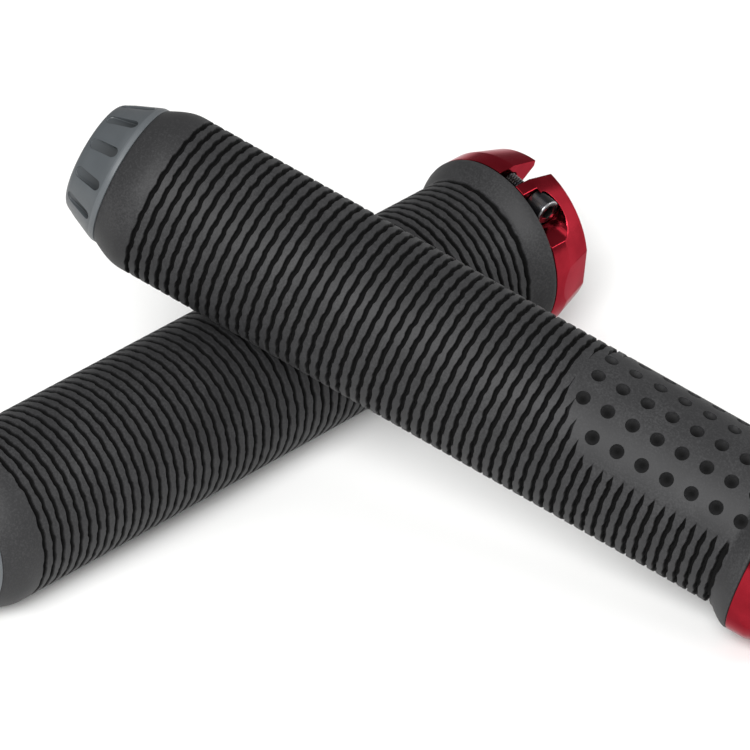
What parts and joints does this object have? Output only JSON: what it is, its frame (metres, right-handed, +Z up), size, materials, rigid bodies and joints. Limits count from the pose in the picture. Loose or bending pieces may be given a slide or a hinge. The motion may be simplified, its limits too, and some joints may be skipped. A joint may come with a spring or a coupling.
{
  "type": "bar end grips",
  "caption": "Ribbed rubber lock-on handlebar grips lying crossed, each with a split aluminium clamp ring, pinch screw and plastic bar end cap.",
  "frame": {"origin": "on the ground, in the middle of the pair's footprint", "axes": "+X along the lower grip from its cap to its clamp ring, +Z up"},
  "size_m": [0.1472, 0.1434, 0.0667],
  "materials": {
    "rubber": "matt moulded thermoplastic rubber, charcoal",
    "nylon_core": "moulded black nylon",
    "cap_plastic": "satin moulded polypropylene, mid grey",
    "red_anodised": "glossy red anodising on turned aluminium",
    "black_steel": "black oxide on alloy steel"
  },
  "bodies": {
    "lower_grip": {"lower_rubber_sleeve": "rubber", "lower_core_tube": "nylon_core"},
    "lower_cap": {"lower_end_cap": "cap_plastic"},
    "lower_clamp": {"lower_clamp_ring": "red_anodised"},
    "lower_screw": {"lower_clamp_screw": "black_steel"},
    "upper_grip": {"upper_rubber_sleeve": "rubber", "upper_core_tube": "nylon_core"},
    "upper_cap": {"upper_end_cap": "cap_plastic"},
    "upper_clamp": {"upper_clamp_ring": "red_anodised"},
    "upper_screw": {"upper_clamp_screw": "black_steel"}
  },
  "joints": [
    {"name": "lower_cap_pull", "type": "slide", "parent": "lower_grip", "child": "lower_cap", "axis": [-0.9998, 0, -0.0176], "range_m": [0, 0.012]},
    {"name": "lower_clamp_slide", "type": "slide", "parent": "lower_grip", "child": "lower_clamp", "axis": [0.9998, 0, 0.0176], "range_m": [0, 0.012]},
    {"name": "lower_screw_turn", "type": "hinge", "parent": "lower_clamp", "child": "lower_screw", "pos_m": [0.06696, 0.03846, 0.03049], "axis": [0.0043, -0.9691, -0.2466], "range_deg": [0, 810]},
    {"name": "upper_grip_lift", "type": "slide", "parent": "lower_grip", "child": "upper_grip", "axis": [0, 0, 1], "range_m": [0, 0.06]},
    {"name": "upper_cap_pull", "type": "slide", "parent": "upper_grip", "child": "upper_cap", "axis": [-0.3175, 0.9059, 0.2802], "range_m": [0, 0.012]},
    {"name": "upper_clamp_slide", "type": "slide", "parent": "upper_grip", "child": "upper_clamp", "axis": [0.3175, -0.9059, -0.2802], "range_m": [0, 0.012]},
    {"name": "upper_screw_turn", "type": "hinge", "parent": "upper_clamp", "child": "upper_screw", "pos_m": [0.03501, -0.0559, 0.00348], "axis": [0.947, 0.3181, 0.0445], "range_deg": [0, 810]}
  ]
}
